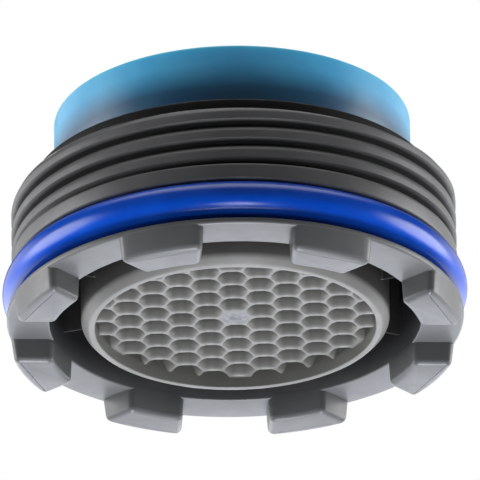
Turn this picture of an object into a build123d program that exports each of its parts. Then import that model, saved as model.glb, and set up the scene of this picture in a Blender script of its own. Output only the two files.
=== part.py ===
"""Recessed tap aerator with a key-operated ring, standing on its key teeth, inlet strainer up.

Units are millimetres. Z is the axis of the thread and of the water jet, and z = 0 is the plane
of the key tooth bottoms. Radial sizes are worked out from the thread inwards, and heights
from the key teeth upwards.
"""
import os
from math import hypot, radians, sqrt, tan

from build123d import *

# Thread on the outside of the housing, shown as plain ridges of the true thread section
thread_major_d = 21.4
thread_pitch = 1.0
thread_depth = 0.42
thread_flank_angle = 30.0
thread_ridges = 3
thread_shoulder = 0.7
thread_lead_in_depth = 0.4
thread_lead_in_height = 0.2

# Housing walls and the castellated key ring at the outlet
housing_wall = 0.98
insert_ledge = 0.3
groove_wall = 0.45
groove_width = 2.16
key_ring_overhang = 0.25
key_tooth_count = 8
key_tooth_height = 1.15
key_notch_width = 4.1
key_flange_thickness = 0.3
key_outer_corner_round = 0.5
key_inner_corner_round = 0.3
key_edge_break = 0.25

# Seal under the thread and washer on top of the housing
o_ring_section = 1.78
washer_thickness = 0.8
washer_setback = 0.53

# Insert casing: flange, outlet ring, honeycomb, air windows and centring ribs
insert_flange_thickness = 1.3
insert_clocking = -5.05
outlet_length = 5.38
outlet_wall = 0.66
outlet_rim_outer_chamfer = 0.4
outlet_rim_inner_chamfer = 0.08
air_gap = 1.5
honeycomb_recess = 0.55
honeycomb_depth = 1.6
cell_pitch = 1.475
cell_web = 0.4
cell_margin = 0.06
cell_smallest_overlap = 0.35
gate_mark_d = 0.7
gate_mark_depth = 0.2
air_window_count = 8
air_window_width = 3.0
air_window_margin = 0.45
rib_thickness = 0.45
rib_length = 4.1

# Two mixing grids that lie on the honeycomb
grid_thickness = 0.5
grid_rim = 0.6
grid_bar = 0.35
grid_pitch = 1.65

# Jet diffuser, flow regulator and strainer
diffuser_seat = 0.45
diffuser_plate = 0.5
diffuser_rim_height = 0.5
diffuser_rim_width = 0.85
jet_count = 16
jet_slot_length = 1.4
jet_slot_width = 0.45
jet_circle_d = 10.6
regulator_base = 0.7
regulator_height = 2.4
regulator_rim_width = 0.6
regulator_hub_d = 4.6
regulator_hub_flutes = 8
regulator_flute_d = 0.9
regulator_slot_width = 0.8
regulator_ring_width = 1.5
regulator_ring_height = 1.2
strainer_height = 4.19
strainer_wall = 0.65
strainer_setback = 0.6
strainer_rim = 0.8
strainer_recess = 0.35
strainer_plate = 0.5
strainer_edge_chamfer = 0.1
sieve_pitch = 1.45
sieve_opening = 0.95

# Clearances
o_ring_side_gap = 0.04
o_ring_seat_gap = 0.02
insert_gap = 0.1
rib_gap = 0.1
slip_gap = 0.05

# Radii, from the thread inwards
thread_major_r = thread_major_d / 2
thread_minor_r = thread_major_r - thread_depth
upper_bore_r = thread_minor_r - housing_wall
insert_flange_r = upper_bore_r - insert_gap
lower_bore_r = insert_flange_r - insert_ledge
groove_floor_r = lower_bore_r + groove_wall
o_ring_centre_r = groove_floor_r + o_ring_seat_gap + o_ring_section / 2
key_ring_r = thread_major_r + key_ring_overhang
outlet_ring_r = lower_bore_r - air_gap
outlet_bore_r = outlet_ring_r - outlet_wall
strainer_r = insert_flange_r - strainer_setback
strainer_bore_r = strainer_r - strainer_wall
diffuser_r = strainer_bore_r - slip_gap
grid_r = outlet_bore_r - slip_gap
washer_outer_r = thread_minor_r - washer_setback
washer_inner_r = strainer_r + slip_gap

# Heights, from the key teeth upwards
groove_bottom_z = key_tooth_height + key_flange_thickness
groove_top_z = groove_bottom_z + groove_width
o_ring_z = groove_top_z - o_ring_side_gap - o_ring_section / 2
thread_start_z = groove_top_z + thread_shoulder
flank_rise = thread_depth * tan(radians(thread_flank_angle))
thread_end_z = thread_start_z + thread_ridges * thread_pitch
housing_top_z = thread_end_z + thread_lead_in_height
ledge_z = housing_top_z - insert_flange_thickness
outlet_rim_z = ledge_z - outlet_length
honeycomb_z = outlet_rim_z + honeycomb_recess
honeycomb_top_z = honeycomb_z + honeycomb_depth
upper_grid_z = honeycomb_top_z + grid_thickness
window_bottom_z = upper_grid_z + grid_thickness + air_window_margin
window_top_z = ledge_z - air_window_margin
diffuser_z = ledge_z + diffuser_seat
diffuser_floor_z = diffuser_z + diffuser_plate
regulator_z = diffuser_floor_z + diffuser_rim_height
regulator_floor_z = regulator_z + regulator_base
strainer_top_z = housing_top_z + strainer_height
sieve_top_z = strainer_top_z - strainer_recess
sieve_z = sieve_top_z - strainer_plate


def thread_outline():
    """Points up the outer thread section, from the shoulder to the lead-in at the top."""
    points = []
    for ridge in range(thread_ridges):
        z = thread_start_z + ridge * thread_pitch
        points += [
            (thread_major_r, z),
            (thread_minor_r, z + flank_rise),
            (thread_major_r, z + 2 * flank_rise),
        ]
    points += [
        (thread_major_r, thread_end_z),
        (thread_major_r - thread_lead_in_depth, housing_top_z),
    ]
    return points


def honeycomb_centres():
    """Centres of the open cells; the middle cell stays closed and slivers at the wall are left out."""
    column_step = cell_pitch * sqrt(3) / 2
    reach = outlet_bore_r + cell_pitch / 2 - cell_smallest_overlap
    ring_count = int(reach / column_step) + 1
    centres = []
    for column in range(-ring_count, ring_count + 1):
        for row in range(-2 * ring_count, 2 * ring_count + 1):
            x = column * column_step
            y = (row + (column % 2) / 2) * cell_pitch
            if 0 < hypot(x, y) < reach:
                centres.append((x, y))
    return centres


def sieve_centres():
    """Centres of the square sieve openings that lie wholly inside the strainer's rim."""
    field_r = strainer_r - strainer_rim
    half_count = int(field_r / sieve_pitch) + 1
    centres = []
    for column in range(-half_count, half_count + 1):
        for row in range(-half_count, half_count + 1):
            x = column * sieve_pitch
            y = row * sieve_pitch
            corner = hypot(abs(x) + sieve_opening / 2, abs(y) + sieve_opening / 2)
            if corner < field_r:
                centres.append((x, y))
    return centres


# Housing: thread, seal groove and castellated key ring in one moulding
with BuildPart() as housing:
    with BuildSketch(Plane.XZ):
        with BuildLine():
            Polyline(
                (lower_bore_r, 0),
                (key_ring_r, 0),
                (key_ring_r, groove_bottom_z),
                (groove_floor_r, groove_bottom_z),
                (groove_floor_r, groove_top_z),
                (thread_major_r, groove_top_z),
                *thread_outline(),
                (upper_bore_r, housing_top_z),
                (upper_bore_r, ledge_z),
                (lower_bore_r, ledge_z),
                close=True,
            )
        make_face()
    revolve(axis=Axis.Z)
    # Parallel-sided notches for the service key, one centred on each axis
    with BuildSketch(Plane.XY):
        with PolarLocations((lower_bore_r + key_ring_r) / 2, key_tooth_count):
            Rectangle(2 * (key_ring_r - lower_bore_r), key_notch_width)
    extrude(amount=key_tooth_height, mode=Mode.SUBTRACT)
    # Tooth corners rounded, tooth bottoms with a broken edge
    corners = housing.edges().filter_by(Axis.Z).filter_by_position(Axis.Z, 0, key_tooth_height)
    outer_corners = corners.filter_by(lambda edge: hypot(edge.center().X, edge.center().Y) > groove_floor_r)
    inner_corners = corners - outer_corners
    fillet(outer_corners, radius=key_outer_corner_round)
    fillet(inner_corners, radius=key_inner_corner_round)
    chamfer(housing.edges().group_by(Axis.Z)[0], length=key_edge_break)

# Elastic ring under the thread
with BuildPart() as o_ring:
    with BuildSketch(Plane.XZ):
        with Locations((o_ring_centre_r, o_ring_z)):
            Circle(o_ring_section / 2)
    revolve(axis=Axis.Z)

# Insert casing: flange, outlet ring and honeycomb in one moulding
with BuildPart() as insert_casing:
    with BuildSketch(Plane.XZ):
        with BuildLine():
            Polyline(
                (0, honeycomb_z),
                (outlet_bore_r, honeycomb_z),
                (outlet_bore_r, outlet_rim_z),
                (outlet_ring_r, outlet_rim_z),
                (outlet_ring_r, ledge_z),
                (insert_flange_r, ledge_z),
                (insert_flange_r, housing_top_z),
                (strainer_bore_r, housing_top_z),
                (strainer_bore_r, diffuser_z),
                (outlet_bore_r, diffuser_z),
                (outlet_bore_r, honeycomb_top_z),
                (0, honeycomb_top_z),
                close=True,
            )
        make_face()
    revolve(axis=Axis.Z)
    # Narrow lip at the outlet, sloped back on its outer side
    rim_edges = insert_casing.edges().filter_by(GeomType.CIRCLE).group_by(Axis.Z)[0].sort_by(SortBy.RADIUS)
    chamfer(rim_edges[-1], length=outlet_rim_outer_chamfer)
    chamfer(rim_edges[0], length=outlet_rim_inner_chamfer)
    # Honeycomb cells, cut short at the outlet wall
    with BuildSketch(Plane.XY.offset(honeycomb_z).rotated((0, 0, insert_clocking))):
        with Locations(*honeycomb_centres()):
            RegularPolygon((cell_pitch - cell_web) / 2, 6, major_radius=False)
        Circle(outlet_bore_r - cell_margin, mode=Mode.INTERSECT)
    extrude(amount=honeycomb_depth, mode=Mode.SUBTRACT)
    # Gate mark in the closed middle cell
    with BuildSketch(Plane.XY.offset(honeycomb_z)):
        Circle(gate_mark_d / 2)
    extrude(amount=gate_mark_depth, mode=Mode.SUBTRACT)
    # Air windows through the wall, above the mixing grids
    window_middle_z = (window_bottom_z + window_top_z) / 2
    with PolarLocations((outlet_bore_r + outlet_ring_r) / 2, air_window_count):
        with Locations((0, 0, window_middle_z)):
            Box(3 * outlet_wall, air_window_width, window_top_z - window_bottom_z, mode=Mode.SUBTRACT)
    # Centring ribs that hang from the flange in the air gap, between the windows
    rib_reach = lower_bore_r - rib_gap - outlet_ring_r
    rib_middle_r = outlet_ring_r + (rib_reach - outlet_wall / 2) / 2
    with BuildSketch(Plane.XY.offset(ledge_z)):
        with PolarLocations(rib_middle_r, air_window_count, start_angle=180 / air_window_count):
            Rectangle(rib_reach + outlet_wall / 2, rib_thickness)
    extrude(amount=-rib_length)


def mixing_grid_outline(bar_angle):
    """Rim and parallel bars of one mixing grid, drawn in the open sketch."""
    bar_count = int(2 * grid_r / grid_pitch)
    Circle(grid_r)
    Circle(grid_r - grid_rim, mode=Mode.SUBTRACT)
    with Locations(Location((0, 0), bar_angle)):
        with GridLocations(grid_pitch, 0, bar_count, 1):
            Rectangle(grid_bar, 2 * grid_r)
    Circle(grid_r, mode=Mode.INTERSECT)


# Mixing grids: the lower one on the honeycomb, the upper one crossed on top of it
with BuildPart() as lower_mixing_grid:
    with BuildSketch(Plane.XY.offset(honeycomb_top_z)):
        mixing_grid_outline(0)
    extrude(amount=grid_thickness)

with BuildPart() as upper_mixing_grid:
    with BuildSketch(Plane.XY.offset(upper_grid_z)):
        mixing_grid_outline(90)
    extrude(amount=grid_thickness)

# Jet diffuser: perforated plate with a raised rim, seated in the casing's flange
with BuildPart() as jet_diffuser:
    with BuildSketch(Plane.XY.offset(diffuser_z)):
        Circle(diffuser_r)
    extrude(amount=diffuser_plate + diffuser_rim_height)
    with BuildSketch(Plane.XY.offset(diffuser_floor_z)):
        Circle(diffuser_r - diffuser_rim_width)
    extrude(amount=diffuser_rim_height, mode=Mode.SUBTRACT)
    with BuildSketch(Plane.XY.offset(diffuser_z)):
        with PolarLocations(jet_circle_d / 2, jet_count):
            Rectangle(jet_slot_length, jet_slot_width)
    extrude(amount=diffuser_plate, mode=Mode.SUBTRACT)

# Flow regulator body: slotted base, outer rim and fluted hub
regulator_hub_r = regulator_hub_d / 2
regulator_ring_inner_r = regulator_hub_r + slip_gap
regulator_ring_outer_r = regulator_ring_inner_r + regulator_ring_width
with BuildPart() as regulator_body:
    with BuildSketch(Plane.XY.offset(regulator_z)):
        Circle(diffuser_r)
    extrude(amount=regulator_base)
    with BuildSketch(Plane.XY.offset(regulator_floor_z)):
        Circle(diffuser_r)
        Circle(diffuser_r - regulator_rim_width, mode=Mode.SUBTRACT)
        Circle(regulator_hub_r)
        with PolarLocations(regulator_hub_r, regulator_hub_flutes):
            Circle(regulator_flute_d / 2, mode=Mode.SUBTRACT)
    extrude(amount=regulator_height - regulator_base)
    with BuildSketch(Plane.XY.offset(regulator_z)):
        with PolarLocations((regulator_ring_inner_r + regulator_ring_outer_r) / 2, regulator_hub_flutes):
            Rectangle(regulator_ring_width, regulator_slot_width)
    extrude(amount=regulator_base, mode=Mode.SUBTRACT)

# Elastic regulating ring round the hub, over the slots
with BuildPart() as regulator_ring:
    with BuildSketch(Plane.XY.offset(regulator_floor_z)):
        Circle(regulator_ring_outer_r)
        Circle(regulator_ring_inner_r, mode=Mode.SUBTRACT)
    extrude(amount=regulator_ring_height)

# Strainer: cup over the regulator, with a sieve plate set into its rim
with BuildPart() as strainer:
    with BuildSketch(Plane.XY.offset(housing_top_z)):
        Circle(strainer_r)
    extrude(amount=strainer_height)
    top_edge = strainer.edges().group_by(Axis.Z)[-1]
    chamfer(top_edge, length=min(strainer_edge_chamfer, 0.45 * strainer_rim))
    with BuildSketch(Plane.XY.offset(housing_top_z)):
        Circle(strainer_bore_r)
    extrude(amount=sieve_z - housing_top_z, mode=Mode.SUBTRACT)
    with BuildSketch(Plane.XY.offset(sieve_top_z)):
        Circle(strainer_r - strainer_rim)
    extrude(amount=strainer_recess, mode=Mode.SUBTRACT)
    with BuildSketch(Plane.XY.offset(sieve_z)):
        with Locations(*sieve_centres()):
            Rectangle(sieve_opening, sieve_opening)
    extrude(amount=strainer_plate, mode=Mode.SUBTRACT)

# Flat washer that seals the housing's top against the spout
with BuildPart() as top_washer:
    with BuildSketch(Plane.XY.offset(housing_top_z)):
        Circle(washer_outer_r)
        Circle(washer_inner_r, mode=Mode.SUBTRACT)
    extrude(amount=washer_thickness)

pieces = {
    "housing": housing,
    "o_ring": o_ring,
    "insert_casing": insert_casing,
    "lower_mixing_grid": lower_mixing_grid,
    "upper_mixing_grid": upper_mixing_grid,
    "jet_diffuser": jet_diffuser,
    "regulator_body": regulator_body,
    "regulator_ring": regulator_ring,
    "strainer": strainer,
    "top_washer": top_washer,
}

os.makedirs("parts", exist_ok=True)
for name, piece in pieces.items():
    piece.part.label = name
    export_step(piece.part, f"parts/{name}.step")
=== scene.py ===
"""Recessed tap aerator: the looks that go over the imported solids, with camera, floor and light."""
from math import asin, atan2, cos, hypot, pi, radians, sin, sqrt

import bmesh
import bpy
from mathutils import Matrix, Quaternion, Vector


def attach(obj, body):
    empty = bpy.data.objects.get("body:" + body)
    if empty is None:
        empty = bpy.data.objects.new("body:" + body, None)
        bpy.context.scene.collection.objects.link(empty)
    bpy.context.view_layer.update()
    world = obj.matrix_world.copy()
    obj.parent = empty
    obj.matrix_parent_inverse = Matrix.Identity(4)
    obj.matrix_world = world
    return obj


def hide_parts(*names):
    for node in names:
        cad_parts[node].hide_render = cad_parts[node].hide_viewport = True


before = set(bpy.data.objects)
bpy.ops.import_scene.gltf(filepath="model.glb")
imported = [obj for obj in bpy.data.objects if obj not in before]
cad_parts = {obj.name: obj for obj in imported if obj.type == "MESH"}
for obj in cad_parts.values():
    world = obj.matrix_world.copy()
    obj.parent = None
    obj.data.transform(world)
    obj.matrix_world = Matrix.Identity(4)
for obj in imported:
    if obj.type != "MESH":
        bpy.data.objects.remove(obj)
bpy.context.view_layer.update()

# Sizes are in millimetres, as in the part's source, and each finished mesh is scaled to metres
METRES = 0.001
TURN_STEPS = 192
CREASE_ANGLE = radians(35)

thread_major_r = 10.7
thread_minor_r = 10.28
thread_pitch = 1.0
thread_start_z = 4.31
thread_phase_z = 3.56
flank_rise = 0.2425
thread_root_round = 0.06
thread_crest_round = 0.22
thread_foot_gap = 0.06
run_out_rise = 0.3
top_crest_z = 7.31
lead_in_depth = 0.4
housing_top_z = 7.51
upper_bore_r = 9.3
lower_bore_r = 8.9
ledge_z = 6.21
groove_floor_r = 9.35
groove_bottom_z = 1.45
groove_top_z = 3.61
key_ring_r = 10.95
notch_roof_z = 1.15
notch_half_width = 2.05
notch_count = 8
tooth_root_z = 1.38
tooth_draft = 0.17
tooth_outer_corner = 0.42
tooth_inner_corner = 0.26
tooth_tip_edge = 0.28
tooth_overlap = 0.005

seal_centre_r = 10.26
seal_centre_z = 2.68
seal_section_r = 0.89

outlet_rim_z = 0.83
outlet_ring_r = 7.4
outlet_bore_r = 6.74
outlet_rim_slope = 0.38
insert_flange_r = 9.2
insert_seat_z = 6.66
strainer_bore_r = 7.95
window_low_z = 4.43
window_high_z = 5.76
window_half_angle = radians(11.25)
rib_reach = 1.55
rib_thickness = 0.45
rib_length = 4.1
rib_middle_r = 8.025
rib_taper = 0.3
rib_edge = 0.06
honeycomb_low_z = 1.38
honeycomb_high_z = 2.98
cell_pitch = 1.475
cell_edge = ((0.015, 0.0), (0.035, 0.015), (0.05, 0.045), (0.06, 0.1), (0.075, 0.2), (0.05, 0.2))
cell_corner = 0.16
cell_reach = 7.1275
field_columns = 7
honeycomb_field_r = 8.2
honeycomb_trim_r = 7.05
gate_mark_r = 0.35
gate_steps = ((0.05, 0.01), (0.06, 0.03), (0.07, 0.03), (0.08, 0.01))
gate_patch_r = 0.85
insert_clocking = -5.05

strainer_r = 8.6
strainer_top_z = 11.7
sieve_rim_r = 7.8
sieve_trim_r = 8.1
sieve_low_z = 10.85
sieve_high_z = 11.35
sieve_columns = 13
sieve_pitch = 1.45
sieve_opening = 0.95
sieve_edge = ((0.17, 0.0), (0.056, 0.024), (0.024, 0.056))
washer_inner_r = 8.65
washer_outer_r = 9.75
washer_top_z = 8.31


# Mesh making

def turned(bm, corners, closed=True):
    """Turns a section about the thread axis. Each corner is (radius, height, rounding)."""
    verts = [bm.verts.new((radius, 0, height)) for radius, height, rounding in corners]
    ends = verts[1:] + verts[:1] if closed else verts[1:]
    for pair in zip(verts, ends):
        bm.edges.new(pair)
    for vert, corner in zip(verts, corners):
        if corner[2]:
            bmesh.ops.bevel(
                bm, geom=[vert], offset=corner[2], offset_type="OFFSET", segments=4,
                profile=0.5, affect="VERTICES", material=-1,
            )
    edges = [edge for edge in bm.edges if edge.is_wire]
    section = edges + list({vert for edge in edges for vert in edge.verts})
    bmesh.ops.spin(
        bm, geom=section, cent=(0, 0, 0), axis=(0, 0, 1), dvec=(0, 0, 0),
        angle=2 * pi, steps=TURN_STEPS, use_merge=True,
    )


def open_ring(bm, height):
    """The edges of an open rim that lies at one height."""
    return [
        edge for edge in bm.edges
        if edge.is_boundary and all(abs(vert.co.z - height) < 1e-4 for vert in edge.verts)
    ]


def off_angle(point, middle):
    """How far a point lies from an angle about the thread axis, either way."""
    return abs((atan2(point.y, point.x) - middle + pi) % (2 * pi) - pi)


def eased(share):
    """A soft start and end between 0 and 1."""
    share = min(max(share, 0.0), 1.0)
    return share * share * (3 - 2 * share)


def cut_thread(bm):
    """Right-hand thread that runs out at the shoulder and has a lead-in at the top."""
    verts = []
    for turn in range(-1, 6):
        z = thread_phase_z + turn * thread_pitch
        verts += [
            bm.verts.new((thread_major_r, 0, z)),
            bm.verts.new((thread_minor_r, 0, z + flank_rise)),
            bm.verts.new((thread_major_r, 0, z + 2 * flank_rise)),
        ]
    for pair in zip(verts, verts[1:]):
        bm.edges.new(pair)
    for corners, rounding in ((verts[4:-1:3], thread_root_round), (verts[3:-1:3], thread_crest_round)):
        bmesh.ops.bevel(
            bm, geom=corners, offset=rounding, offset_type="OFFSET", segments=5,
            profile=0.5, affect="VERTICES", material=-1,
        )
    long_edges = [edge for edge in bm.edges if edge.calc_length() > 0.1]
    bmesh.ops.subdivide_edges(bm, edges=long_edges, cuts=2)
    bmesh.ops.spin(
        bm, geom=bm.verts[:] + bm.edges[:], cent=(0, 0, 0), axis=(0, 0, 1),
        dvec=(0, 0, thread_pitch / TURN_STEPS), angle=2 * pi, steps=TURN_STEPS,
    )
    bmesh.ops.remove_doubles(bm, verts=bm.verts, dist=1e-4)
    for height, outward in ((thread_start_z, -1), (housing_top_z, 1)):
        bmesh.ops.bisect_plane(
            bm, geom=bm.verts[:] + bm.edges[:] + bm.faces[:], dist=1e-6,
            plane_co=(0, 0, height), plane_no=(0, 0, outward), clear_outer=True,
        )
    lead_in_slope = lead_in_depth / (housing_top_z - top_crest_z)
    for vert in bm.verts:
        radius = hypot(vert.co.x, vert.co.y)
        depth = (thread_major_r - radius) * eased((vert.co.z - thread_start_z) / run_out_rise)
        lead_in = thread_major_r - max(0.0, vert.co.z - top_crest_z) * lead_in_slope
        share = min(thread_major_r - depth, lead_in) / radius
        vert.co.x *= share
        vert.co.y *= share


def add_teeth(bm):
    """Key teeth between parallel notches: rounded corners, a little draft and a soft bottom edge."""
    tooth = bmesh.new()
    outline = []
    for radius, steps, way in ((key_ring_r + tooth_overlap, 8, 1), (lower_bore_r - tooth_overlap, 4, -1)):
        reach = pi / notch_count - asin(notch_half_width / radius)
        spread = [-1.0] + [0.7 * (2 * step / steps - 1) for step in range(steps + 1)] + [1.0]
        for share in spread[::way]:
            angle = pi / notch_count + reach * share
            outline.append(tooth.verts.new((radius * cos(angle), radius * sin(angle), tooth_root_z)))
    tooth.faces.new(outline)
    for corner, rounding in (
        (outline[0], tooth_outer_corner), (outline[10], tooth_outer_corner),
        (outline[11], tooth_inner_corner), (outline[17], tooth_inner_corner),
    ):
        bmesh.ops.bevel(
            tooth, geom=[corner], offset=rounding, offset_type="OFFSET", segments=5,
            profile=0.5, affect="VERTICES", material=-1,
        )
    drawn = bmesh.ops.extrude_face_region(tooth, geom=tooth.faces[:])["geom"]
    for tip in (part for part in drawn if isinstance(part, bmesh.types.BMVert)):
        radius, angle = hypot(tip.co.x, tip.co.y), atan2(tip.co.y, tip.co.x) - pi / notch_count
        inset = (key_ring_r + lower_bore_r) / 2 - radius
        radius += inset * (tooth_draft if inset < 0 else tooth_draft / 3)
        angle = pi / notch_count + angle * (1 - tooth_draft / 4)
        tip.co = (radius * cos(angle), radius * sin(angle), 0)
    bmesh.ops.recalc_face_normals(tooth, faces=tooth.faces)
    tip_edges = [part for part in drawn if isinstance(part, bmesh.types.BMEdge)]
    bmesh.ops.bevel(
        tooth, geom=tip_edges, offset=tooth_tip_edge, offset_type="OFFSET", segments=4,
        profile=0.5, affect="EDGES", material=-1,
    )
    bmesh.ops.spin(
        tooth, geom=tooth.verts[:] + tooth.edges[:] + tooth.faces[:],
        cent=(0, 0, 0), axis=(0, 0, 1), dvec=(0, 0, 0),
        angle=2 * pi * (1 - 1 / notch_count), steps=notch_count - 1, use_duplicate=True,
    )
    teeth = bpy.data.meshes.new("teeth")
    tooth.to_mesh(teeth)
    tooth.free()
    bm.from_mesh(teeth)
    bpy.data.meshes.remove(teeth)


def trim_round(bm, radius, sides=48):
    """Cuts a plate round, where the wall that holds it hides the cut, and closes the cut."""
    for side in range(sides):
        outward = Vector((cos(2 * pi * side / sides), sin(2 * pi * side / sides), 0))
        cut = bmesh.ops.bisect_plane(
            bm, geom=bm.verts[:] + bm.edges[:] + bm.faces[:], dist=1e-6,
            plane_co=outward * radius, plane_no=outward, clear_outer=True,
        )
        rims = [part for part in cut["geom_cut"] if isinstance(part, bmesh.types.BMEdge)]
        bmesh.ops.holes_fill(bm, edges=rims, sides=0)


def pierce_plate(bm, cells, edge, low_z, high_z):
    """Opens the cells of a flat sheet, gives it thickness and closes its rim. The edge is a list of (inset, depth)."""
    half = (high_z - low_z) / 2
    bmesh.ops.translate(bm, vec=(0, 0, -half), verts=bm.verts)
    for inset, depth in edge:
        bmesh.ops.inset_individual(bm, faces=cells, thickness=inset, depth=-depth, use_even_offset=True)
    walls = bmesh.ops.extrude_discrete_faces(bm, faces=cells)["faces"]
    ends = list({vert for face in walls for vert in face.verts})
    bmesh.ops.translate(bm, vec=(0, 0, half - sum(depth for inset, depth in edge)), verts=ends)
    bmesh.ops.delete(bm, geom=walls, context="FACES_ONLY")
    bmesh.ops.mirror(
        bm, geom=bm.verts[:] + bm.edges[:] + bm.faces[:], axis="Z", matrix=Matrix(), merge_dist=1e-4,
    )
    bmesh.ops.bridge_loops(bm, edges=[side for side in bm.edges if side.is_boundary])
    bmesh.ops.translate(bm, vec=(0, 0, low_z + half), verts=bm.verts)


def mark_gate(bm, middle):
    """Round dimple of the mould gate in a closed cell."""
    rim = list(middle[0].edges)
    bmesh.ops.delete(bm, geom=middle, context="FACES_ONLY")
    ring = bmesh.ops.create_circle(bm, cap_ends=True, segments=24, radius=gate_mark_r)["verts"]
    dimple = [face for face in ring[0].link_faces if face.normal.z > 0]
    bmesh.ops.reverse_faces(bm, faces=dimple)
    dimple = list(ring[0].link_faces)
    bmesh.ops.triangle_fill(bm, use_beauty=True, edges=rim + list(dimple[0].edges), normal=(0, 0, -1))
    for thickness, depth in gate_steps:
        bmesh.ops.inset_individual(bm, faces=dimple, thickness=thickness, depth=-depth, use_even_offset=True)


def new_piece(name, bm, finish, slot, *nodes):
    """Finishes a mesh as a piece that stands for CAD nodes."""
    bmesh.ops.remove_doubles(bm, verts=bm.verts, dist=1e-4)
    bmesh.ops.recalc_face_normals(bm, faces=bm.faces)
    bmesh.ops.scale(bm, vec=(METRES, METRES, METRES), verts=bm.verts)
    mesh = bpy.data.meshes.new(name)
    bm.to_mesh(mesh)
    bm.free()
    mesh.shade_smooth()
    mesh.set_sharp_from_angle(angle=CREASE_ANGLE)
    mesh.materials.append(finish)
    piece = bpy.data.objects.new(name, mesh)
    bpy.context.scene.collection.objects.link(piece)
    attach(piece, "root")
    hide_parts(*nodes)


# Finishes

def finish_start(name):
    """A new material with its shader and a coordinate in millimetres on the piece."""
    finish = bpy.data.materials.new(name)
    finish.use_nodes = True
    nodes = finish.node_tree.nodes
    shader = nodes["Principled BSDF"]
    place = nodes.new("ShaderNodeTexCoord")
    size = nodes.new("ShaderNodeMapping")
    size.inputs["Scale"].default_value = (1000, 1000, 1000)
    finish.node_tree.links.new(place.outputs["Object"], size.inputs["Vector"])
    return finish, shader, size.outputs["Vector"]


def cloudy(finish, place, scale, detail=3.0, roughness=0.55):
    """A noise of so many features per millimetre."""
    noise = finish.node_tree.nodes.new("ShaderNodeTexNoise")
    noise.inputs["Scale"].default_value = scale
    noise.inputs["Detail"].default_value = detail
    noise.inputs["Roughness"].default_value = roughness
    finish.node_tree.links.new(place, noise.inputs["Vector"])
    return noise.outputs["Fac"]


def toned(finish, factor, stops):
    """A colour ramp over a factor."""
    ramp = finish.node_tree.nodes.new("ShaderNodeValToRGB")
    for element, (position, colour) in zip(ramp.color_ramp.elements, (stops[0], stops[-1])):
        element.position, element.color = position, (*colour, 1)
    for position, colour in stops[1:-1]:
        ramp.color_ramp.elements.new(position).color = (*colour, 1)
    finish.node_tree.links.new(factor, ramp.inputs["Fac"])
    return ramp.outputs["Color"]


def ranged(finish, factor, low, high, from_low=0.3, from_high=0.7):
    """A number that runs from low to high over a factor."""
    scale = finish.node_tree.nodes.new("ShaderNodeMapRange")
    scale.inputs["From Min"].default_value = from_low
    scale.inputs["From Max"].default_value = from_high
    scale.inputs["To Min"].default_value = low
    scale.inputs["To Max"].default_value = high
    finish.node_tree.links.new(factor, scale.inputs["Value"])
    return scale.outputs["Result"]


def embossed(finish, height, distance, strength, before=None):
    """A bump of so many millimetres, on top of another if one is given."""
    bump = finish.node_tree.nodes.new("ShaderNodeBump")
    bump.inputs["Strength"].default_value = strength
    bump.inputs["Distance"].default_value = distance * METRES
    finish.node_tree.links.new(height, bump.inputs["Height"])
    if before is not None:
        finish.node_tree.links.new(before, bump.inputs["Normal"])
    return bump.outputs["Normal"]


def moulded_plastic(name, dark, mid, pale, rough, grain, gloss=0.5, flow=0.05):
    """Injection-moulded plastic: cloudy pigment, spark-eroded grain and faint flow marks."""
    finish, shader, place = finish_start(name)
    links = finish.node_tree.links
    clouds = cloudy(finish, place, 0.45, detail=4.0)
    links.new(toned(finish, clouds, ((0.3, dark), (0.5, mid), (0.72, pale))), shader.inputs["Base Color"])
    links.new(ranged(finish, cloudy(finish, place, 1.6), *rough), shader.inputs["Roughness"])
    waves = embossed(finish, cloudy(finish, place, 0.8, detail=1.0), flow, 0.25)
    links.new(embossed(finish, cloudy(finish, place, 16.0, detail=2.0), grain, 0.5, waves), shader.inputs["Normal"])
    shader.inputs["Specular IOR Level"].default_value = gloss
    return finish


def glow_through(finish, share, reach):
    """Lets light wander through a clear-tinted piece for so many millimetres."""
    shader = finish.node_tree.nodes["Principled BSDF"]
    shader.inputs["Subsurface Weight"].default_value = share
    shader.inputs["Subsurface Radius"].default_value = (0.4, 0.9, 1.0)
    shader.inputs["Subsurface Scale"].default_value = reach * METRES


def from_axis(finish, place):
    """The distance from the thread axis."""
    nodes, links = finish.node_tree.nodes, finish.node_tree.links
    across = nodes.new("ShaderNodeVectorMath")
    across.operation = "MULTIPLY"
    across.inputs[1].default_value = (1, 1, 0)
    links.new(place, across.inputs[0])
    away = nodes.new("ShaderNodeVectorMath")
    away.operation = "LENGTH"
    links.new(across.outputs["Vector"], away.inputs[0])
    return away.outputs["Value"]


def along_axis(finish, place):
    """The height along the thread axis."""
    height = finish.node_tree.nodes.new("ShaderNodeSeparateXYZ")
    finish.node_tree.links.new(place, height.inputs["Vector"])
    return height.outputs["Z"]


def speckle_middle(finish, radius):
    """A pale, rough patch round the axis, where the gate was broken off."""
    nodes, links = finish.node_tree.nodes, finish.node_tree.links
    shader, place = nodes["Principled BSDF"], nodes["Mapping"].outputs["Vector"]
    speckle = cloudy(finish, place, 6.0, detail=2.0)
    patch = ranged(finish, from_axis(finish, place), 1, 0, 0.6 * radius, radius)
    blend = nodes.new("ShaderNodeMix")
    blend.data_type = "RGBA"
    links.new(patch, blend.inputs["Factor"])
    links.new(shader.inputs["Base Color"].links[0].from_socket, blend.inputs["A"])
    pale_grains = toned(finish, speckle, ((0.36, (0.1, 0.1, 0.104)), (0.66, (0.185, 0.189, 0.2))))
    links.new(pale_grains, blend.inputs["B"])
    links.new(blend.outputs["Result"], shader.inputs["Base Color"])


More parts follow.
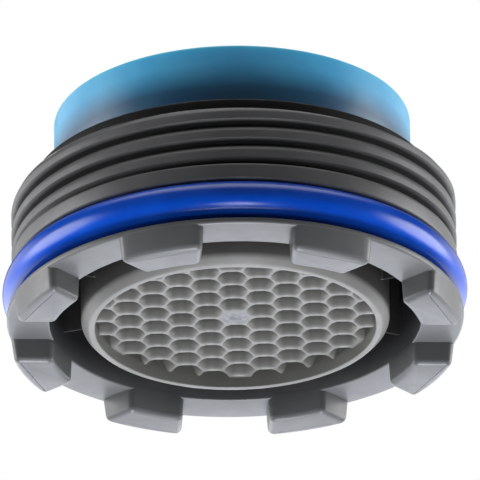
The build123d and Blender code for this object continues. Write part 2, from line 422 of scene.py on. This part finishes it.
def paint_shade(finish, colour, share):
    """Paints shade: multiplies the finish's colour towards a deeper one by a share."""
    nodes, links = finish.node_tree.nodes, finish.node_tree.links
    shader = nodes["Principled BSDF"]
    blend = nodes.new("ShaderNodeMix")
    blend.data_type = "RGBA"
    blend.blend_type = "MULTIPLY"
    blend.inputs["B"].default_value = (*colour, 1)
    links.new(share, blend.inputs["Factor"])
    links.new(shader.inputs["Base Color"].links[0].from_socket, blend.inputs["A"])
    links.new(blend.outputs["Result"], shader.inputs["Base Color"])


def paint_recess_shade(finish, deep, radii, *heights, dull=0.0):
    """Paints shade inside a recess: deepens the colour there and dulls the finish. Each pair runs from the clear side
    to the deep side.
    """
    nodes, links = finish.node_tree.nodes, finish.node_tree.links
    place = nodes["Mapping"].outputs["Vector"]
    height = along_axis(finish, place)
    share = ranged(finish, from_axis(finish, place), 0, 1, *radii)
    for span in heights:
        product = nodes.new("ShaderNodeMath")
        product.operation = "MULTIPLY"
        links.new(share, product.inputs[0])
        links.new(ranged(finish, height, 0, 1, *span), product.inputs[1])
        share = product.outputs["Value"]
    paint_shade(finish, deep, share)
    roughness = nodes["Principled BSDF"].inputs["Roughness"]
    duller = nodes.new("ShaderNodeMath")
    duller.operation = "MULTIPLY_ADD"
    duller.inputs[1].default_value = dull
    links.new(share, duller.inputs[0])
    links.new(roughness.links[0].from_socket, duller.inputs[2])
    links.new(duller.outputs["Value"], roughness)


def paint_shade_by_height(finish, low, high, deep):
    """Paints shade: deepens the colour towards the foot of a clear-tinted piece."""
    height = along_axis(finish, finish.node_tree.nodes["Mapping"].outputs["Vector"])
    paint_shade(finish, deep, ranged(finish, height, 1, 0, low, high))


housing_plastic = moulded_plastic(
    "housing_plastic", (0.108, 0.11, 0.112), (0.12, 0.122, 0.124), (0.132, 0.134, 0.137), (0.34, 0.44), 0.006,
)
# Painted shade in the thread roots, then in the key ring's bore
paint_recess_shade(housing_plastic, (0.06, 0.06, 0.06), (10.69, 10.5), (3.8, 4.2), (7.4, 7.3), dull=0.3)
paint_recess_shade(housing_plastic, (0.4, 0.4, 0.4), (9.2, 9.1), (1.2, 2.6))
insert_plastic = moulded_plastic(
    "insert_plastic", (0.156, 0.154, 0.144), (0.174, 0.171, 0.16), (0.192, 0.189, 0.177), (0.38, 0.5), 0.006,
)
# Painted shade on the outlet ring's outer wall, then on the ribs in the air gap
paint_recess_shade(insert_plastic, (0.35, 0.35, 0.35), (7.15, 7.25), (1.2, 2.4), dull=0.2)
paint_recess_shade(insert_plastic, (0.15, 0.15, 0.15), (7.45, 7.55), (1.2, 1.8), dull=0.3)
speckle_middle(insert_plastic, gate_patch_r)
inner_plastic = moulded_plastic(
    "inner_plastic", (0.2, 0.2, 0.195), (0.23, 0.23, 0.225), (0.26, 0.26, 0.255), (0.4, 0.55), 0.006,
)
strainer_plastic = moulded_plastic(
    "strainer_plastic", (0.07, 0.46, 0.83), (0.085, 0.5, 0.87), (0.1, 0.54, 0.91), (0.34, 0.42), 0.001,
    gloss=0.8,
)
# Painted shade: the cup's colour deepens towards its foot, the same all round
paint_shade_by_height(strainer_plastic, 9.5, 10.8, (0.13, 0.23, 0.28))
glow_through(strainer_plastic, 0.5, 1.5)
seal_rubber = moulded_plastic(
    "seal_rubber", (0.001, 0.06, 0.5), (0.002, 0.075, 0.58), (0.004, 0.09, 0.64), (0.2, 0.265), 0.0004,
    flow=0.01,
)
washer_rubber = moulded_plastic(
    "washer_rubber", (0.003, 0.003, 0.003), (0.005, 0.005, 0.005), (0.008, 0.008, 0.008), (0.5, 0.7), 0.006,
    gloss=0.2,
)
regulator_rubber = moulded_plastic(
    "regulator_rubber", (0.014, 0.014, 0.014), (0.02, 0.02, 0.02), (0.03, 0.03, 0.03), (0.5, 0.7), 0.006,
)


# Housing: thread, seal groove and castellated key ring

housing = bmesh.new()
cut_thread(housing)
turned(housing, (
    (thread_major_r, thread_start_z - thread_foot_gap, 0),
    (thread_major_r, groove_top_z, 0.15),
    (groove_floor_r, groove_top_z, 0.1),
    (groove_floor_r, groove_bottom_z, 0.1),
    (key_ring_r, groove_bottom_z, 0.04),
    (key_ring_r, notch_roof_z, 0.14),
    (lower_bore_r, notch_roof_z, 0.08),
    (lower_bore_r, ledge_z, 0.08),
    (upper_bore_r, ledge_z, 0.05),
    (upper_bore_r, housing_top_z, 0.08),
    (thread_major_r - lead_in_depth - 0.06, housing_top_z, 0),
), closed=False)
thread_foot = open_ring(housing, thread_start_z) + open_ring(housing, thread_start_z - thread_foot_gap)
bmesh.ops.bridge_loops(housing, edges=thread_foot)
bmesh.ops.bridge_loops(housing, edges=open_ring(housing, housing_top_z))
add_teeth(housing)
new_piece("threaded_housing", housing, housing_plastic, "housing_plastic", "housing")

# Seal ring in its groove
seal = bmesh.new()
bmesh.ops.create_circle(
    seal, segments=48, radius=seal_section_r,
    matrix=Matrix.Translation((seal_centre_r, 0, seal_centre_z)) @ Matrix.Rotation(pi / 2, 4, "X"),
)
bmesh.ops.spin(
    seal, geom=seal.verts[:] + seal.edges[:], cent=(0, 0, 0), axis=(0, 0, 1), dvec=(0, 0, 0),
    angle=2 * pi, steps=TURN_STEPS, use_merge=True,
)
new_piece("seal_ring", seal, seal_rubber, "seal_rubber", "o_ring")

# Insert casing: outlet ring, flange, air windows and centring ribs
casing = bmesh.new()
turned(casing, (
    (outlet_bore_r, outlet_rim_z, 0.06),
    (outlet_ring_r - outlet_rim_slope, outlet_rim_z, 0.06),
    (outlet_ring_r, outlet_rim_z + outlet_rim_slope, 0.16),
    (outlet_ring_r, window_low_z, 0),
    (outlet_ring_r, window_high_z, 0),
    (outlet_ring_r, ledge_z, 0.12),
    (insert_flange_r, ledge_z, 0.08),
    (insert_flange_r, housing_top_z, 0.08),
    (strainer_bore_r, housing_top_z, 0.05),
    (strainer_bore_r, insert_seat_z, 0.03),
    (outlet_bore_r, insert_seat_z, 0.05),
    (outlet_bore_r, window_high_z, 0),
    (outlet_bore_r, window_low_z, 0),
))
for window in range(notch_count):
    middle = 2 * pi * window / notch_count
    panes = [
        face for face in casing.faces
        if window_low_z < face.calc_center_median().z < window_high_z
        and off_angle(face.calc_center_median(), middle) < window_half_angle
    ]
    bmesh.ops.delete(casing, geom=panes, context="FACES")
    bmesh.ops.bridge_loops(casing, edges=[edge for edge in casing.edges if edge.is_boundary])
for rib in range(notch_count):
    cube = bmesh.ops.create_cube(casing, size=1.0)["verts"]
    bmesh.ops.scale(casing, vec=(rib_reach, rib_thickness, rib_length), verts=cube)
    bmesh.ops.translate(casing, vec=(rib_middle_r, 0, ledge_z - rib_length / 2), verts=cube)
    tip = [vert for vert in cube if vert.co.z < ledge_z - rib_length / 2]
    bmesh.ops.scale(casing, vec=(1, rib_taper, 1), verts=tip)
    turn = Matrix.Rotation(2 * pi * (rib + 0.5) / notch_count, 3, "Z")
    bmesh.ops.rotate(casing, cent=(0, 0, 0), matrix=turn, verts=cube)
    edges = list({edge for vert in cube for edge in vert.link_edges})
    bmesh.ops.bevel(
        casing, geom=edges, offset=rib_edge, offset_type="OFFSET", segments=2,
        profile=0.5, affect="EDGES", material=-1,
    )
new_piece("insert_casing_shell", casing, insert_plastic, "insert_plastic", "insert_casing")

# Honeycomb of the outlet, cut short at the ring's wall, with a gate mark in the closed middle cell
honeycomb = bmesh.new()
column_step = cell_pitch * sqrt(3) / 2
for column in range(-field_columns, field_columns + 1):
    for row in range(-field_columns, field_columns + 1):
        x, y = column * column_step, (row + column % 2 / 2) * cell_pitch
        if hypot(x, y) < honeycomb_field_r:
            bmesh.ops.create_circle(
                honeycomb, cap_ends=True, segments=6, radius=cell_pitch / sqrt(3),
                matrix=Matrix.Translation((x, y, 0)) @ Matrix.Rotation(radians(30), 4, "Z"),
            )
bmesh.ops.bevel(
    honeycomb, geom=honeycomb.verts[:], offset=cell_corner, offset_type="OFFSET", segments=1,
    profile=0.5, affect="VERTICES", material=-1,
)
bmesh.ops.remove_doubles(honeycomb, verts=honeycomb.verts, dist=0.01)
open_corners = [edge for edge in honeycomb.edges if edge.is_boundary]
bmesh.ops.holes_fill(honeycomb, edges=open_corners, sides=3)
bmesh.ops.recalc_face_normals(honeycomb, faces=honeycomb.faces)
if sum(face.normal.z for face in honeycomb.faces) > 0:
    bmesh.ops.reverse_faces(honeycomb, faces=honeycomb.faces)
cells = [
    face for face in honeycomb.faces
    if len(face.verts) > 3 and 0.1 < face.calc_center_median().length < cell_reach
]
middle = [face for face in honeycomb.faces if face.calc_center_median().length < 0.1]
mark_gate(honeycomb, middle)
pierce_plate(honeycomb, cells, cell_edge, honeycomb_low_z, honeycomb_high_z)
clocking = Matrix.Rotation(radians(insert_clocking), 3, "Z")
bmesh.ops.rotate(honeycomb, cent=(0, 0, 0), matrix=clocking, verts=honeycomb.verts)
trim_round(honeycomb, honeycomb_trim_r)
new_piece("outlet_honeycomb", honeycomb, insert_plastic, "insert_plastic", "insert_casing")

# Strainer cup with its sieve
cup = bmesh.new()
turned(cup, (
    (strainer_r, housing_top_z, 0.05),
    (strainer_r, strainer_top_z, 0.1),
    (sieve_rim_r, strainer_top_z, 0.12),
    (sieve_rim_r, sieve_low_z, 0),
    (strainer_bore_r, sieve_low_z, 0),
    (strainer_bore_r, housing_top_z, 0.05),
))
new_piece("strainer_cup", cup, strainer_plastic, "strainer_plastic", "strainer")

sieve = bmesh.new()
bmesh.ops.create_grid(
    sieve, x_segments=sieve_columns, y_segments=sieve_columns, size=sieve_columns / 2 * sieve_pitch,
)
bmesh.ops.reverse_faces(sieve, faces=sieve.faces)
cells = [
    face for face in sieve.faces
    if hypot(
        abs(face.calc_center_median().x) + sieve_opening / 2,
        abs(face.calc_center_median().y) + sieve_opening / 2,
    ) < sieve_rim_r
]
pierce_plate(sieve, cells, sieve_edge, sieve_low_z, sieve_high_z)
trim_round(sieve, sieve_trim_r)
new_piece("strainer_sieve", sieve, strainer_plastic, "strainer_plastic", "strainer")

# Washer on the housing's top
washer = bmesh.new()
turned(washer, (
    (washer_inner_r, housing_top_z, 0.06),
    (washer_outer_r, housing_top_z, 0.06),
    (washer_outer_r, washer_top_z, 0.14),
    (washer_inner_r, washer_top_z, 0.14),
))
new_piece("sealing_washer", washer, washer_rubber, "washer_rubber", "top_washer")

# The inner pieces keep their solids and get their finishes
for node, finish in (
    ("lower_mixing_grid", inner_plastic),
    ("upper_mixing_grid", inner_plastic),
    ("jet_diffuser", inner_plastic),
    ("regulator_body", inner_plastic),
    ("regulator_ring", regulator_rubber),
):
    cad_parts[node].data.materials.clear()
    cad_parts[node].data.materials.append(finish)


# Floor: pale from above and clear from below, where the photograph's camera is

floor_mesh = bmesh.new()
bmesh.ops.create_grid(floor_mesh, x_segments=1, y_segments=1, size=0.6)
floor_data = bpy.data.meshes.new("floor")
floor_mesh.to_mesh(floor_data)
floor_mesh.free()
floor = bpy.data.objects.new("floor", floor_data)
bpy.context.scene.collection.objects.link(floor)
floor.visible_diffuse = False
floor.visible_glossy = False
floor.visible_shadow = False
pale = bpy.data.materials.new("pale_floor")
pale.use_nodes = True
pale_nodes, pale_links = pale.node_tree.nodes, pale.node_tree.links
pale_nodes["Principled BSDF"].inputs["Base Color"].default_value = (0.85, 0.85, 0.85, 1)
pale_nodes["Principled BSDF"].inputs["Roughness"].default_value = 0.8
sides = pale_nodes.new("ShaderNodeNewGeometry")
clear = pale_nodes.new("ShaderNodeBsdfTransparent")
either = pale_nodes.new("ShaderNodeMixShader")
pale_links.new(sides.outputs["Backfacing"], either.inputs["Fac"])
pale_links.new(pale_nodes["Principled BSDF"].outputs["BSDF"], either.inputs[1])
pale_links.new(clear.outputs["BSDF"], either.inputs[2])
pale_links.new(either.outputs["Shader"], pale_nodes["Material Output"].inputs["Surface"])
floor_data.materials.append(pale)

# Light: a white surround for the camera and, for the part, soft lights in a dark one: a bright ground, a small
# light from below in front, the low back, both sides, both back corners, a dim front and the top
world = bpy.data.worlds.new("studio")
world.use_nodes = True
bpy.context.scene.world = world
w_nodes, w_links = world.node_tree.nodes, world.node_tree.links
direction = w_nodes.new("ShaderNodeTexCoord")


def lit_from(axis, start, full, colour):
    """A soft light in the surround: dark outside the cosine start, full inside the cosine full."""
    along = w_nodes.new("ShaderNodeVectorMath")
    along.operation = "DOT_PRODUCT"
    along.inputs[1].default_value = Vector(axis).normalized()
    w_links.new(direction.outputs["Generated"], along.inputs[0])
    rise = w_nodes.new("ShaderNodeMapRange")
    rise.interpolation_type = "SMOOTHSTEP"
    rise.inputs["From Min"].default_value = start
    rise.inputs["From Max"].default_value = full
    w_links.new(along.outputs["Value"], rise.inputs["Value"])
    light = w_nodes.new("ShaderNodeVectorMath")
    light.operation = "SCALE"
    light.inputs[0].default_value = colour
    w_links.new(rise.outputs["Result"], light.inputs["Scale"])
    return light.outputs["Vector"]


total = None
for light in (
    lit_from((0, 0, -1), 0.95, 0.985, (18.0, 18.6, 19.8)),
    lit_from((0, -0.676, -0.737), 0.985, 0.995, (8.5, 8.5, 8.5)),
    lit_from((0, 0.9, -0.43), 0.62, 0.9, (1.8, 1.85, 2.0)),
    lit_from((-0.99, 0.12, 0.06), 0.88, 0.97, (5.5, 5.5, 5.5)),
    lit_from((0.99, 0.12, 0.06), 0.88, 0.97, (6.0, 6.0, 6.0)),
    lit_from((-0.64, 0.76, 0.1), 0.8, 0.95, (1.3, 1.3, 1.3)),
    lit_from((0.64, 0.76, 0.1), 0.8, 0.95, (1.1, 1.1, 1.1)),
    lit_from((0, -0.5, 0.87), 0.3, 0.8, (0.06, 0.06, 0.06)),
    lit_from((0, 0, 1), 0.8, 0.96, (2.0, 2.0, 2.0)),
):
    if total is None:
        total = light
        continue
    add = w_nodes.new("ShaderNodeVectorMath")
    w_links.new(total, add.inputs[0])
    w_links.new(light, add.inputs[1])
    total = add.outputs["Vector"]
ambient = w_nodes.new("ShaderNodeVectorMath")
ambient.inputs[1].default_value = (0.02, 0.02, 0.02)
w_links.new(total, ambient.inputs[0])
surround = w_nodes["Background"]
w_links.new(ambient.outputs["Vector"], surround.inputs["Color"])
backdrop = w_nodes.new("ShaderNodeBackground")
backdrop.inputs["Color"].default_value = (1, 1, 1, 1)
path = w_nodes.new("ShaderNodeLightPath")
seen = w_nodes.new("ShaderNodeMixShader")
w_links.new(path.outputs["Is Camera Ray"], seen.inputs["Fac"])
w_links.new(surround.outputs["Background"], seen.inputs[1])
w_links.new(backdrop.outputs["Background"], seen.inputs[2])
w_links.new(seen.outputs["Shader"], w_nodes["World Output"].inputs["Surface"])

# Camera: from below, nearly level with a long lens, a little rolled
camera_distance = 0.5
photo_width, pixels_per_mm = 480, 20.8
view_width = photo_width / pixels_per_mm * METRES
aim_height, aim_shift = 0.00553, 0.00029
azimuth, elevation, roll = radians(-3.5), radians(-25.7), radians(-1.05)
back = Vector((sin(azimuth) * cos(elevation), -cos(azimuth) * cos(elevation), sin(elevation)))
facing = (-back).to_track_quat("-Z", "Y") @ Quaternion((0, 0, 1), roll)
aim = Vector((0, 0, aim_height)) + facing @ Vector((aim_shift, 0, 0))
lens = bpy.data.cameras.new("camera")
lens.sensor_width = 36
lens.lens = lens.sensor_width * camera_distance / view_width
lens.clip_start, lens.clip_end = 0.01, 10
camera = bpy.data.objects.new("camera", lens)
bpy.context.scene.collection.objects.link(camera)
camera.location = aim + back * camera_distance
camera.rotation_mode = "QUATERNION"
camera.rotation_quaternion = facing
bpy.context.scene.camera = camera
bpy.context.scene.view_settings.view_transform = "Standard"
